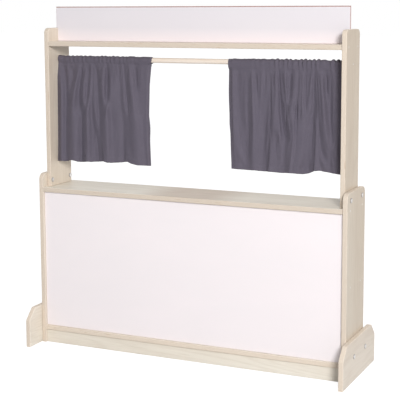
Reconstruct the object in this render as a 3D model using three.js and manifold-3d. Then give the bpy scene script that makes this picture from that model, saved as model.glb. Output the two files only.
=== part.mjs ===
// Puppet theater stand for children. A low storage cabinet, open at the back, carries a marker panel
// in front and a counter on top. Two uprights on the counter hold a header shelf with a sign board
// and a rod with two gathered curtains. A plate on each side of the cabinet makes the foot.
// Millimetres. X runs from the left side to the right, Y from the front to the back, Z up.
// The origin is on the floor, at the middle of the footprint.
import * as THREE from 'three';
import { mergeVertices } from 'three/addons/utils/BufferGeometryUtils.js';
import Module from 'manifold-3d';

const wasm = await Module();
wasm.setup();

// Plywood and the way its boards meet
const boardThickness = 18;
const edgeEase = 2.5;
const jointGap = 0.25;
const fitClearance = 0.3;
const cutOverrun = 1;

// Cabinet
const cabinetWidth = 1219;
const cabinetDepth = 206;
const sideHeight = 658;
const sideCornerRadius = 24;
const counterDrop = 53;
const bottomShelfTop = 68;
const toeRailSetback = 6;

// Marker panel, held in grooves all round
const markerPanelThickness = 5;
const markerPanelSetback = 11;
const markerGrooveDepth = 6;

// Feet
const footReach = 85;
const footHeight = 146;
const footClip = 42;
const footClipRadius = 12;

// Uprights, header shelf and sign board
const uprightSetback = 28;
const uprightHeight = 601;
const uprightCornerRadius = 20;
const headerDrop = 50;
const signHeight = 129;
const signThickness = 5;
const signBevel = 1.6;
const signGrooveDepth = 8;

// Curtain rod. Its drop runs from the header shelf's underside to the middle of the rod.
const rodRadius = 9.5;
const rodDrop = 49.5;

// Connector bolts and their sleeve nuts
const boltHeadRadius = 8.5;
const boltHeadThickness = 2.4;
const boltHeadChamfer = 0.8;
const boltShankRadius = 3;
const boltReach = 30;
const socketAcrossCorners = 4.6;
const socketDepth = 1.6;
const sleeveRadius = 4.3;
const sleeveLength = 13;
const uprightBoltInset = 11;
const uprightBoltRise = 25;
const footBoltInset = 37;
const footBoltHeightShare = 0.6;

// Countersunk screws
const screwHeadRadius = 4.2;
const screwHeadDepth = 3.2;
const screwShankRadius = 2.2;
const screwLength = 44;
const screwTipLength = 5;
const screwSink = 0.3;
const recessLength = 4.4;
const recessWidth = 0.9;
const recessDepth = 1.5;
const counterScrewInset = 33.5;
const shelfScrewInset = 44.5;
const headerScrewInset = 23;

// Curtains. A share of a curtain's width runs from its outer edge, 0, to its leading edge, 1.
// Each fold is a share of the width and the share of the fold depth that the cloth stands back there.
const curtainLength = 403;
const leftCurtainWidth = 385;
const rightCurtainWidth = 433;
const curtainSideGap = 3;
const clothThickness = 2.4;
const pocketRadius = 12.2;
const pocketClearance = 0.4;
const pocketSeamDrop = 16.5;
const foldDepth = 24;
const gatherDepth = 3;
const gatherCount = 10;
const gatherSwell = 0.7;
const leftLeadBow = 11;
const rightLeadBow = -5;
const clothColumns = 40;
const clothRowShares = [0, 0.12, 0.26, 0.4, 0.54, 0.68, 0.8, 0.9, 1];
const gatherFadeShare = 0.45;
const pocketRowAngles = [-50, -20, 20, 50];
const leftFoldShares = [
  [0, -1], [0.08, 0.4], [0.18, -0.5], [0.23, 0.15], [0.31, -0.5],
  [0.39, 0.55], [0.515, -0.75], [0.69, 0.75], [0.84, -0.65], [1, 0],
];
const rightFoldShares = [
  [0, 0], [0.1, -0.6], [0.27, 1.1], [0.47, -0.9], [0.53, 0.65],
  [0.66, -0.35], [0.71, 0.25], [0.78, -0.4], [0.86, 0.3], [1, -0.5],
];

// Steps of the round shapes
const easeSteps = 2;
const cornerSteps = 6;
const rodSteps = 32;
const headSteps = 16;
const screwSteps = 8;
const channelSteps = 24;
const hexSides = 6;

// Places that follow from the sizes above
const halfCabinet = cabinetWidth / 2;
const frontEdge = -cabinetDepth / 2;
const backEdge = cabinetDepth / 2;
const halfBay = halfCabinet - boardThickness;
const halfStage = halfBay - jointGap - boardThickness;
const uprightDepth = cabinetDepth - uprightSetback * 2;
const panelFront = frontEdge + markerPanelSetback;
const panelBack = panelFront + markerPanelThickness;
const counterTop = sideHeight - counterDrop;
const counterUnderside = counterTop - boardThickness;
const middleShelfTop = (bottomShelfTop + counterUnderside + boardThickness) / 2;
const bottomShelfUnderside = bottomShelfTop - boardThickness;
const uprightTop = counterTop + uprightHeight;
const headerTop = uprightTop - headerDrop;
const headerUnderside = headerTop - boardThickness;
const signTop = headerTop + signHeight;
const rodHeight = headerUnderside - rodDrop;
const pocketTop = rodHeight + pocketRadius;
const hemHeight = pocketTop - curtainLength;
const boltStack = boardThickness * 2 + jointGap;

// A closed geometry becomes a solid that can be joined and cut, and back. Triangles that merging
// has closed up, such as those on a turned shape's axis, are left out.
function toSolid(geometry) {
  const bare = geometry.clone();
  bare.deleteAttribute('normal');
  bare.deleteAttribute('uv');
  const merged = mergeVertices(bare);
  const corners = merged.index.array;
  const kept = [];
  for (let i = 0; i < corners.length; i += 3) {
    const [a, b, c] = corners.slice(i, i + 3);
    if (a !== b && b !== c && c !== a) {
      kept.push(a, b, c);
    }
  }
  const mesh = new wasm.Mesh({
    numProp: 3,
    vertProperties: new Float32Array(merged.attributes.position.array),
    triVerts: new Uint32Array(kept),
  });
  return new wasm.Manifold(mesh);
}

function toGeometry(solid) {
  const mesh = solid.getMesh();
  const geometry = new THREE.BufferGeometry();
  geometry.setAttribute('position', new THREE.BufferAttribute(mesh.vertProperties, mesh.numProp));
  geometry.setIndex(new THREE.BufferAttribute(mesh.triVerts, 1));
  const flat = geometry.toNonIndexed();
  flat.computeVertexNormals();
  return flat;
}

function cut(geometry, cutters) {
  let solid = toSolid(geometry);
  for (const cutter of cutters) {
    solid = solid.subtract(toSolid(cutter));
  }
  return toGeometry(solid);
}

// A box between two corners.
function boxBetween(low, high) {
  const size = new THREE.Vector3().subVectors(high, low);
  const geometry = new THREE.BoxGeometry(size.x, size.y, size.z);
  geometry.translate(low.x + size.x / 2, low.y + size.y / 2, low.z + size.z / 2);
  return geometry;
}

// An outline through corner points [a, b, radius], each corner rounded by its radius or left sharp.
function roundedOutline(corners, steps = cornerSteps) {
  const count = corners.length;
  const points = corners.flatMap(([a, b, radius], i) => {
    const corner = new THREE.Vector2(a, b);
    if (radius === 0) {
      return [corner];
    }
    const before = corners[(i + count - 1) % count];
    const after = corners[(i + 1) % count];
    const back = new THREE.Vector2(before[0], before[1]).sub(corner).normalize();
    const ahead = new THREE.Vector2(after[0], after[1]).sub(corner).normalize();
    const halfAngle = Math.acos(back.dot(ahead)) / 2;
    const start = corner.clone().addScaledVector(back, radius / Math.tan(halfAngle));
    const inward = back.clone().add(ahead).normalize();
    const centre = corner.clone().addScaledVector(inward, radius / Math.sin(halfAngle));
    const sweep = Math.PI - halfAngle * 2;
    return Array.from({ length: steps + 1 }, (_, step) =>
      start.clone().rotateAround(centre, sweep * step / steps));
  });
  return new THREE.Shape(points);
}

// A board whose outline lies in the Y-Z plane and whose outer edges are all eased.
// It spans X from 0 to its thickness.
function easedPlate(shape, thickness) {
  const geometry = new THREE.ExtrudeGeometry(shape, {
    depth: thickness - edgeEase * 2,
    bevelThickness: edgeEase,
    bevelSize: edgeEase,
    bevelOffset: -edgeEase,
    bevelSegments: easeSteps,
  });
  geometry.translate(0, 0, edgeEase);
  geometry.applyMatrix4(outlineToSideways());
  return geometry;
}

// Turns an extrusion from the X-Y plane so that its outline lies in Y-Z and its depth runs along X.
function outlineToSideways() {
  return new THREE.Matrix4().makeBasis(
    new THREE.Vector3(0, 1, 0),
    new THREE.Vector3(0, 0, 1),
    new THREE.Vector3(1, 0, 0),
  );
}

// A shelf with square ends and eased long edges, centred on X = 0.
function shelfBoard(length, front, back, bottom, top) {
  const shape = roundedOutline([
    [front, bottom, edgeEase],
    [back, bottom, edgeEase],
    [back, top, edgeEase],
    [front, top, edgeEase],
  ], easeSteps);
  const geometry = new THREE.ExtrudeGeometry(shape, { depth: length, bevelEnabled: false });
  geometry.applyMatrix4(outlineToSideways());
  geometry.translate(-length / 2, 0, 0);
  return geometry;
}

// A turned shape about the X axis, from profile points [distance along X, radius].
function turnedAlongX(profile, steps) {
  const points = profile.map(([along, radius]) => new THREE.Vector2(radius, along));
  const geometry = new THREE.LatheGeometry(points, steps);
  geometry.rotateZ(-Math.PI / 2);
  return geometry;
}

// Every fastener points outward along +X, with the outer face of the board it enters at X = 0.
function screwProfile(grow, top) {
  const tip = -screwLength - grow;
  const headBottom = -screwSink - screwHeadDepth - grow;
  return [
    [tip, 0],
    [tip + screwTipLength, screwShankRadius + grow],
    [headBottom, screwShankRadius + grow],
    [-screwSink, screwHeadRadius + grow],
    [top, screwHeadRadius + grow],
    [top, 0],
  ];
}

function screwGeometry() {
  const profile = screwProfile(0, -screwSink);
  profile.splice(-2, 1);
  const body = turnedAlongX(profile, screwSteps);
  const floor = -screwSink - recessDepth;
  const long = recessLength / 2;
  const narrow = recessWidth / 2;
  const upright = boxBetween(
    new THREE.Vector3(floor, -narrow, -long),
    new THREE.Vector3(cutOverrun, narrow, long),
  );
  const level = boxBetween(
    new THREE.Vector3(floor, -long, -narrow),
    new THREE.Vector3(cutOverrun, long, narrow),
  );
  return cut(body, [upright, level]);
}

function screwHole() {
  return turnedAlongX(screwProfile(fitClearance, cutOverrun), screwSteps);
}

function socketCutter(faceX, direction) {
  const length = socketDepth + cutOverrun;
  const geometry = new THREE.CylinderGeometry(
    socketAcrossCorners / 2,
    socketAcrossCorners / 2,
    length,
    hexSides,
  );
  geometry.rotateZ(Math.PI / 2);
  geometry.translate(faceX + direction * (length / 2 - socketDepth), 0, 0);
  return geometry;
}

// The bolt's head lies on the outer board. Its shank ends inside the sleeve nut.
function boltGeometry() {
  const under = fitClearance;
  const face = under + boltHeadThickness;
  const body = turnedAlongX([
    [-boltReach, 0],
    [-boltReach, boltShankRadius],
    [under, boltShankRadius],
    [under, boltHeadRadius],
    [face - boltHeadChamfer, boltHeadRadius],
    [face, boltHeadRadius - boltHeadChamfer],
    [face, 0],
  ], headSteps);
  return cut(body, [socketCutter(face, 1)]);
}

// The sleeve nut's head lies on the inner board, and its sleeve takes the bolt's shank.
function sleeveNutGeometry() {
  const under = -boltStack - fitClearance;
  const face = under - boltHeadThickness;
  const mouth = under + sleeveLength;
  const bore = boltShankRadius + fitClearance;
  const body = turnedAlongX([
    [face, 0],
    [face, boltHeadRadius - boltHeadChamfer],
    [face + boltHeadChamfer, boltHeadRadius],
    [under, boltHeadRadius],
    [under, sleeveRadius],
    [mouth, sleeveRadius],
    [mouth, bore],
    [under, bore],
    [under, 0],
  ], headSteps);
  return cut(body, [socketCutter(face, -1)]);
}

function boltHole() {
  const reach = boltStack + cutOverrun;
  const clear = boltShankRadius + fitClearance;
  return turnedAlongX([[-reach, 0], [-reach, clear], [cutOverrun, clear], [cutOverrun, 0]], headSteps);
}

function sleeveHole() {
  const inner = -boltStack - cutOverrun;
  const outer = -boltStack + boardThickness + cutOverrun;
  const clear = sleeveRadius + fitClearance;
  return turnedAlongX([[inner, 0], [inner, clear], [outer, clear], [outer, 0]], headSteps);
}

// Puts a fastener or its hole at a side of the part: side is -1 on the left and 1 on the right.
function atSide(geometry, side, faceX, y, z) {
  if (side < 0) {
    geometry.rotateZ(Math.PI);
  }
  geometry.translate(side * faceX, y, z);
  return geometry;
}

// Where the fasteners of one side go: the face they enter, and their places in Y and Z. A pair of
// screws stands as far from the front edge of its board as from the rear edge.
const screwSets = [
  { label: 'counter', face: halfCabinet, y: backEdge - counterScrewInset, top: counterTop },
  { label: 'middle_shelf', face: halfCabinet, y: backEdge - shelfScrewInset, top: middleShelfTop },
  { label: 'bottom_shelf', face: halfCabinet, y: backEdge - shelfScrewInset, top: bottomShelfTop },
  { label: 'header', face: halfBay - jointGap, y: uprightDepth / 2 - headerScrewInset, top: headerTop },
].map(({ label, face, y, top }) => ({
  face,
  places: [
    { name: `${label}_front_screw`, y: -y, z: top - boardThickness / 2 },
    { name: `${label}_rear_screw`, y, z: top - boardThickness / 2 },
  ],
}));
screwSets.push({
  face: halfCabinet,
  places: [{
    name: 'toe_rail_screw',
    y: frontEdge + toeRailSetback + boardThickness / 2,
    z: bottomShelfUnderside / 2,
  }],
});
screwSets.push({
  face: halfBay - jointGap,
  places: [{ name: 'rod_screw', y: 0, z: rodHeight }],
});

const boltSets = [
  {
    label: 'upright',
    face: halfCabinet,
    y: uprightDepth / 2 - uprightBoltInset,
    z: counterTop + uprightBoltRise,
  },
  {
    label: 'foot',
    face: halfCabinet + jointGap + boardThickness,
    y: backEdge - footBoltInset,
    z: footHeight * footBoltHeightShare,
  },
].map(({ label, face, y, z }) => ({
  face,
  places: [
    { name: `${label}_front`, y: -y, z },
    { name: `${label}_rear`, y, z },
  ],
}));

function screwHoles(side) {
  return screwSets.flatMap(({ face, places }) =>
    places.map(({ y, z }) => atSide(screwHole(), side, face, y, z)));
}

function boltHoles(side) {
  return boltSets.flatMap(({ face, places }) =>
    places.map(({ y, z }) => atSide(boltHole(), side, face, y, z)));
}

function sleeveHoles(side, set) {
  return set.places.map(({ y, z }) => atSide(sleeveHole(), side, set.face, y, z));
}

const [uprightBoltSet, footBoltSet] = boltSets;

// The space that the marker panel takes in the boards round it, with its clearance.
function markerPanelPocket() {
  const reach = halfBay + markerGrooveDepth;
  return boxBetween(
    new THREE.Vector3(-reach, panelFront - fitClearance, bottomShelfTop - markerGrooveDepth),
    new THREE.Vector3(reach, panelBack + fitClearance, counterUnderside + markerGrooveDepth),
  );
}

// The groove in both uprights, open at the top, that the sign board slides down into.
function signPocket() {
  const reach = halfStage + signGrooveDepth;
  const halfGroove = signThickness / 2 + fitClearance;
  return boxBetween(
    new THREE.Vector3(-reach, -halfGroove, headerTop),
    new THREE.Vector3(reach, halfGroove, uprightTop + cutOverrun),
  );
}

function sidePanelGeometry(side) {
  const shape = roundedOutline([
    [frontEdge, 0, 0],
    [backEdge, 0, 0],
    [backEdge, sideHeight, sideCornerRadius],
    [frontEdge, sideHeight, sideCornerRadius],
  ]);
  const plate = easedPlate(shape, boardThickness);
  plate.translate(side > 0 ? halfBay : -halfCabinet, 0, 0);
  return cut(plate, [
    markerPanelPocket(),
    ...screwHoles(side),
    ...boltHoles(side),
    ...sleeveHoles(side, footBoltSet),
  ]);
}

function footGeometry(side) {
  const reach = backEdge + footReach;
  const shoulder = footHeight - footClip;
  const shape = roundedOutline([
    [-reach, 0, 0],
    [reach, 0, 0],
    [reach, shoulder, footClipRadius],
    [reach - footClip, footHeight, footClipRadius],
    [footClip - reach, footHeight, footClipRadius],
    [-reach, shoulder, footClipRadius],
  ]);
  const plate = easedPlate(shape, boardThickness);
  const inner = halfCabinet + jointGap;
  plate.translate(side > 0 ? inner : -inner - boardThickness, 0, 0);
  return cut(plate, boltHoles(side));
}

function uprightGeometry(side) {
  const halfDepth = uprightDepth / 2;
  const bottom = counterTop + jointGap;
  const shape = roundedOutline([
    [-halfDepth, bottom, 0],
    [halfDepth, bottom, 0],
    [halfDepth, uprightTop, uprightCornerRadius],
    [-halfDepth, uprightTop, uprightCornerRadius],
  ]);
  const plate = easedPlate(shape, boardThickness);
  plate.translate(side > 0 ? halfStage : -halfStage - boardThickness, 0, 0);
  return cut(plate, [
    signPocket(),
    ...screwHoles(side),
    ...boltHoles(side),
    ...sleeveHoles(side, uprightBoltSet),
  ]);
}

function bothSides(makeHoles) {
  return [...makeHoles(-1), ...makeHoles(1)];
}

function counterGeometry() {
  const length = (halfBay - jointGap) * 2;
  const board = shelfBoard(length, frontEdge, backEdge, counterUnderside, counterTop);
  return cut(board, [markerPanelPocket(), ...bothSides(screwHoles)]);
}

function middleShelfGeometry() {
  const length = (halfBay - jointGap) * 2;
  const front = panelBack + fitClearance;
  const board = shelfBoard(length, front, backEdge, middleShelfTop - boardThickness, middleShelfTop);
  return cut(board, bothSides(screwHoles));
}

function bottomShelfGeometry() {
  const length = (halfBay - jointGap) * 2;
  const board = shelfBoard(length, frontEdge, backEdge, bottomShelfUnderside, bottomShelfTop);
  return cut(board, [markerPanelPocket(), ...bothSides(screwHoles)]);
}

function toeRailGeometry() {
  const length = (halfBay - jointGap) * 2;
  const front = frontEdge + toeRailSetback;
  const top = bottomShelfUnderside - jointGap;
  const board = shelfBoard(length, front, front + boardThickness, 0, top);
  return cut(board, bothSides(screwHoles));
}

function headerShelfGeometry() {
  const length = (halfStage - jointGap) * 2;
  const board = shelfBoard(length, -uprightDepth / 2, uprightDepth / 2, headerUnderside, headerTop);
  return cut(board, bothSides(screwHoles));
}

function markerPanelGeometry() {
  const inset = fitClearance;
  const reach = halfBay + markerGrooveDepth - inset;
  return boxBetween(
    new THREE.Vector3(-reach, panelFront, bottomShelfTop - markerGrooveDepth + inset),
    new THREE.Vector3(reach, panelBack, counterUnderside + markerGrooveDepth - inset),
  );
}

// The sign board's edge is bevelled on both faces, all round.
function signBoardGeometry() {
  const reach = halfStage + signGrooveDepth - fitClearance;
  const bottom = headerTop + jointGap;
  const shape = new THREE.Shape([
    new THREE.Vector2(-reach, bottom),
    new THREE.Vector2(reach, bottom),
    new THREE.Vector2(reach, signTop),
    new THREE.Vector2(-reach, signTop),
  ]);
  const geometry = new THREE.ExtrudeGeometry(shape, {
    depth: signThickness - signBevel * 2,
    bevelThickness: signBevel,
    bevelSize: signBevel,
    bevelOffset: -signBevel,
    bevelSegments: 1,
  });
  geometry.translate(0, 0, signBevel - signThickness / 2);
  geometry.rotateX(Math.PI / 2);
  return geometry;
}

function rodGeometry() {
  const length = (halfStage - jointGap) * 2;
  const rod = new THREE.CylinderGeometry(rodRadius, rodRadius, length, rodSteps);
  rod.rotateZ(Math.PI / 2);
  rod.translate(0, 0, rodHeight);
  return cut(rod, bothSides(screwHoles));
}

// How far back the cloth stands at a share of its width, from -1 to about 1.
function foldAt(folds, share) {
  const next = Math.max(1, folds.findIndex(([place]) => place >= share));
  const [fromShare, fromDepth] = folds[next - 1];
  const [toShare, toDepth] = folds[next];
  const along = (share - fromShare) / (toShare - fromShare);
  const turn = (1 - Math.cos(Math.PI * along)) / 2;
  return fromDepth + (toDepth - fromDepth) * turn;
}

// The rows of the cloth from its hem to the top of its rod pocket. Each gives its height, how far
// the folds and the gathers stand out there, and half of the cloth's depth on the pocket.
function clothRows() {
  const seam = rodHeight - pocketSeamDrop;
  const hanging = clothRowShares.map((share) => ({
    z: hemHeight + (seam - hemHeight) * share,
    fold: foldDepth * Math.sqrt(1 - share),
    gather: gatherDepth * Math.max(0, 1 - (1 - share) / gatherFadeShare),
    half: clothThickness / 2,
    swell: 0,
  }));
  const pocket = pocketRowAngles.map((degrees) => {
    const angle = THREE.MathUtils.degToRad(degrees);
    return {
      z: rodHeight + pocketRadius * Math.sin(angle),
      fold: 0,
      gather: 0,
      half: pocketRadius * Math.cos(angle),
      swell: gatherSwell,
    };
  });
  const top = { z: pocketTop, fold: 0, gather: 0, half: clothThickness / 2, swell: 0 };
  return [...hanging, ...pocket, top];
}

// A closed sheet of cloth in folds: a front and a back grid, joined along their four edges.
function clothGeometry({ side, width, folds, leadBow }) {
  const rows = clothRows();
  const outer = halfStage - curtainSideGap;
  const points = [];
  for (const face of [-1, 1]) {
    for (const { z, fold, gather, half, swell } of rows) {
      const bow = leadBow * Math.sin(Math.PI * (z - hemHeight) / curtainLength);
      for (let column = 0; column <= clothColumns; column += 1) {
        const share = column / clothColumns;
        const wave = Math.cos(Math.PI * 2 * gatherCount * share);
        const x = side * (outer - share * (width - bow));
        const y = fold * foldAt(folds, share) + gather * wave + face * (half + swell * wave);
        points.push(x, y, z);
      }
    }
  }
  const across = clothColumns + 1;
  const layer = across * rows.length;
  const triangles = [];
  const quad = (a, b, c, d) => triangles.push(a, b, c, a, c, d);
  for (let row = 0; row < rows.length - 1; row += 1) {
    for (let column = 0; column < clothColumns; column += 1) {
      const a = row * across + column;
      quad(a, a + across, a + across + 1, a + 1);
      quad(a + layer, a + layer + 1, a + layer + across + 1, a + layer + across);
    }
    const outerEdge = row * across;
    const leadEdge = outerEdge + clothColumns;
    quad(outerEdge, outerEdge + layer, outerEdge + layer + across, outerEdge + across);
    quad(leadEdge, leadEdge + across, leadEdge + layer + across, leadEdge + layer);
  }
  const topRow = across * (rows.length - 1);
  for (let column = 0; column < clothColumns; column += 1) {
    quad(column, column + 1, column + layer + 1, column + layer);
    const a = topRow + column;
    quad(a, a + layer, a + layer + 1, a + 1);
  }
  if (side < 0) {
    triangles.reverse();
  }
  const geometry = new THREE.BufferGeometry();
  geometry.setAttribute('position', new THREE.Float32BufferAttribute(points, 3));
  geometry.setIndex(triangles);
  const channel = new THREE.CylinderGeometry(
    rodRadius + pocketClearance,
    rodRadius + pocketClearance,
    halfStage * 2,
    channelSteps,
  );
  channel.rotateZ(Math.PI / 2);
  channel.translate(0, 0, rodHeight);
  return cut(geometry, [channel]);
}

// Finishes
const finishes = {
  birch: { color: 0xe6d9c6, roughness: 0.55, metalness: 0 },
  marker: { color: 0xf6f1f2, roughness: 0.15, metalness: 0 },
  rod: { color: 0xeee2d8, roughness: 0.5, metalness: 0 },
  cloth: { color: 0x655f70, roughness: 0.95, metalness: 0 },
  steel: { color: 0xcdc8c4, roughness: 0.35, metalness: 0.9 },
};

function piece(name, geometry, finish) {
  const mesh = new THREE.Mesh(geometry, new THREE.MeshStandardMaterial(finishes[finish]));
  mesh.name = name;
  return mesh;
}

// A fastener keeps its own geometry and is placed by its mesh.
function fastener(name, geometry, side, faceX, y, z) {
  const mesh = piece(name, geometry, 'steel');
  mesh.rotation.z = side < 0 ? Math.PI : 0;
  mesh.position.set(side * faceX, y, z);
  return mesh;
}

function fastenersOf(side, prefix) {
  const group = new THREE.Group();
  for (const { face, places } of screwSets) {
    for (const { name, y, z } of places) {
      group.add(fastener(`${prefix}_${name}`, screwGeometry(), side, face, y, z));
    }
  }
  for (const { face, places } of boltSets) {
    for (const { name, y, z } of places) {
      group.add(fastener(`${prefix}_${name}_bolt`, boltGeometry(), side, face, y, z));
      group.add(fastener(`${prefix}_${name}_nut`, sleeveNutGeometry(), side, face, y, z));
    }
  }
  return group;
}

function cabinet() {
  const group = new THREE.Group();
  group.add(
    piece('left_side_panel', sidePanelGeometry(-1), 'birch'),
    piece('right_side_panel', sidePanelGeometry(1), 'birch'),
    piece('counter', counterGeometry(), 'birch'),
    piece('middle_shelf', middleShelfGeometry(), 'birch'),
    piece('bottom_shelf', bottomShelfGeometry(), 'birch'),
    piece('toe_rail', toeRailGeometry(), 'birch'),
    piece('marker_panel', markerPanelGeometry(), 'marker'),
    piece('left_foot', footGeometry(-1), 'birch'),
    piece('right_foot', footGeometry(1), 'birch'),
  );
  return group;
}

function stageFrame() {
  const group = new THREE.Group();
  group.add(
    piece('left_upright', uprightGeometry(-1), 'birch'),
    piece('right_upright', uprightGeometry(1), 'birch'),
    piece('header_shelf', headerShelfGeometry(), 'birch'),
    piece('sign_board', signBoardGeometry(), 'marker'),
    piece('curtain_rod', rodGeometry(), 'rod'),
  );
  return group;
}

function curtains() {
  const left = { side: -1, width: leftCurtainWidth, folds: leftFoldShares, leadBow: leftLeadBow };
  const right = { side: 1, width: rightCurtainWidth, folds: rightFoldShares, leadBow: rightLeadBow };
  const group = new THREE.Group();
  group.add(
    piece('left_curtain', clothGeometry(left), 'cloth'),
    piece('right_curtain', clothGeometry(right), 'cloth'),
  );
  return group;
}

const puppetTheater = new THREE.Group();
puppetTheater.add(
  cabinet(),
  stageFrame(),
  curtains(),
  fastenersOf(-1, 'left'),
  fastenersOf(1, 'right'),
);

export default puppetTheater;
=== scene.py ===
# Puppet theater stand: looks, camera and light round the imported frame. Metres, Z up.
import math

import bmesh
import bpy
import numpy as np
from mathutils import Matrix, Vector


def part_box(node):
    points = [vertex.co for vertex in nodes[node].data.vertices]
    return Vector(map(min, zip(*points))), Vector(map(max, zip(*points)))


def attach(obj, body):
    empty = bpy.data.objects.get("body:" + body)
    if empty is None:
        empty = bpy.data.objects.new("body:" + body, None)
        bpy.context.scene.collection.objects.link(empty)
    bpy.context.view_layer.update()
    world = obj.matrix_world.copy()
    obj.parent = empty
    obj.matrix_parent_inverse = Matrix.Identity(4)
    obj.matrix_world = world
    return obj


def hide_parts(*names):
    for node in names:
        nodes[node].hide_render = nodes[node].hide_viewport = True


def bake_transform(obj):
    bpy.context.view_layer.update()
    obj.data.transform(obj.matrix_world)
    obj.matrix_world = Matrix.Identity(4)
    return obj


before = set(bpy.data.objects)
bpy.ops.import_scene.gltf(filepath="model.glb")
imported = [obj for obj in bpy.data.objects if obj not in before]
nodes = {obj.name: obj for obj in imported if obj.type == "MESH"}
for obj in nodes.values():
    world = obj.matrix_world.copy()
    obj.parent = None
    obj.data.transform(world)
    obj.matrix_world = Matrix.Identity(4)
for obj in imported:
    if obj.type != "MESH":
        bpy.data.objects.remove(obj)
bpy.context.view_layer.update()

MM = 0.001
WHITE = (1, 1, 1, 1)


def placed(name, data):
    """A new object in the scene."""
    made = bpy.data.objects.new(name, data)
    bpy.context.scene.collection.objects.link(made)
    return made


def evaluated(piece):
    """The object with its modifiers applied."""
    return piece.evaluated_get(bpy.context.evaluated_depsgraph_get())


def in_mm(metres):
    """A measure of the frame in millimetres, without the rounding of its stored number."""
    return round(metres / MM, 3)


# Camera, solved from the edges that the photograph shows. Angles in radians.
CAMERA_PLACE = Vector((1.7228, -3.7026, 1.2906))
CAMERA_YAW = 0.4316
CAMERA_PITCH = 0.1280
CAMERA_ROLL = -0.0042
FOCAL_PIXELS = 1129.6
IMAGE_PIXELS = 400
SHIFT_PIXELS = -50
SENSOR_WIDTH = 36
FARTHEST_SEEN = 100


def make_camera():
    data = bpy.data.cameras.new("camera")
    data.sensor_width = SENSOR_WIDTH
    data.lens = FOCAL_PIXELS * SENSOR_WIDTH / IMAGE_PIXELS
    data.shift_y = SHIFT_PIXELS / IMAGE_PIXELS
    data.clip_end = FARTHEST_SEEN
    camera = placed("camera", data)
    ahead = Vector((
        -math.sin(CAMERA_YAW) * math.cos(CAMERA_PITCH),
        math.cos(CAMERA_YAW) * math.cos(CAMERA_PITCH),
        -math.sin(CAMERA_PITCH),
    ))
    level = Vector((math.cos(CAMERA_YAW), math.sin(CAMERA_YAW), 0))
    above = level.cross(ahead)
    right = level * math.cos(CAMERA_ROLL) + above * math.sin(CAMERA_ROLL)
    up = above * math.cos(CAMERA_ROLL) - level * math.sin(CAMERA_ROLL)
    turn = Matrix((right, up, -ahead)).transposed()
    camera.matrix_world = Matrix.Translation(CAMERA_PLACE) @ turn.to_4x4()
    bpy.context.scene.camera = camera


# Helpers for material nodes
def connect(tree, socket, value):
    """Gives a socket the output of another node, or a plain value."""
    if isinstance(value, bpy.types.NodeSocket):
        tree.links.new(value, socket)
    else:
        socket.default_value = value


def node(tree, kind, inputs=None, **settings):
    made = tree.nodes.new("ShaderNode" + kind)
    for name, value in settings.items():
        setattr(made, name, value)
    for name, value in (inputs or {}).items():
        connect(tree, made.inputs[name], value)
    return made


def arithmetic(tree, operation, a, b=0.0, c=None, clamp=False):
    inputs = {0: a, 1: b}
    if c is not None:
        inputs[2] = c
    return node(tree, "Math", inputs, operation=operation, use_clamp=clamp).outputs[0]


def times(tree, a, b):
    return arithmetic(tree, "MULTIPLY", a, b)


def stretched(tree, vector, factors):
    """A vector with each of its parts multiplied by its own factor."""
    return node(tree, "VectorMath", {0: vector, 1: factors}, operation="MULTIPLY").outputs[0]


def noise(tree, vector, scale, detail, roughness=0.5, distortion=0.0):
    return node(tree, "TexNoise", {
        "Vector": vector, "Scale": scale, "Detail": detail, "Roughness": roughness, "Distortion": distortion,
    }).outputs[0]


def rising(tree, value, low, high, interpolation="LINEAR"):
    """0 below low, 1 above high, and a ramp between them."""
    made = node(tree, "ValToRGB", {0: value})
    made.color_ramp.interpolation = interpolation
    for element, place in zip(made.color_ramp.elements, (low, high)):
        element.position = place
    return made.outputs[0]


def mixed(tree, share, a, b, blend="MIX"):
    """Colour a, with b laid over it by a share from 0 to 1."""
    made = node(tree, "Mix", None, data_type="RGBA", blend_type=blend)
    for socket, value in ((0, share), (6, a), (7, b)):
        connect(tree, made.inputs[socket], value)
    return made.outputs[2]


def srgb(red, green, blue):
    def linear(value):
        value /= 255
        return value / 12.92 if value <= 0.04045 else ((value + 0.055) / 1.055) ** 2.4
    return (linear(red), linear(green), linear(blue), 1)


def new_material(name):
    material = bpy.data.materials.new(name)
    material.use_nodes = True
    return material, material.node_tree, material.node_tree.nodes["Principled BSDF"]


def finish_surface(tree, shader, colour, roughness, height, strength, depth, more=None):
    """Gives the shader its colour, roughness, a bump whose depth is in metres, and more inputs."""
    bump = node(tree, "Bump", {"Strength": strength, "Distance": depth, "Height": height}).outputs[0]
    inputs = {"Base Color": colour, "Roughness": roughness, "Normal": bump, **(more or {})}
    for name, value in inputs.items():
        connect(tree, shader.inputs[name], value)


# Plywood
FACE_PALE = srgb(240, 228, 211)
FACE_WARM = srgb(229, 213, 193)
GRAIN_DARK = srgb(202, 184, 163)
PLY_LONG = srgb(226, 215, 202)
PLY_CROSS = srgb(208, 190, 170)
GLUE_LINE = srgb(182, 156, 130)
BROWNER_MIDDLE = (0.75, 0.67, 0.63, 1)
PLIES = 13
FACE_PLY = 0.055
RINGS = 95.0
FIBRE_SHARE = 0.42
RING_SHARE = 0.16
PORE_SHARE = 0.6
CROSS_SHARE = 0.75
GLUE_SHARE = 0.4
GAP_SHARE = 0.7

# The boards come from several sheets: how much of each colour they throw back. The darkest of these tones is
# painted shade on the right side panel and the right upright.
PALE = (0.94, 0.99, 1.04)
LIGHT = (0.87, 0.89, 0.92)
FAIR = (0.80, 0.80, 0.82)
PAINTED_SHADE = (0.71, 0.70, 0.69)

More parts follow.
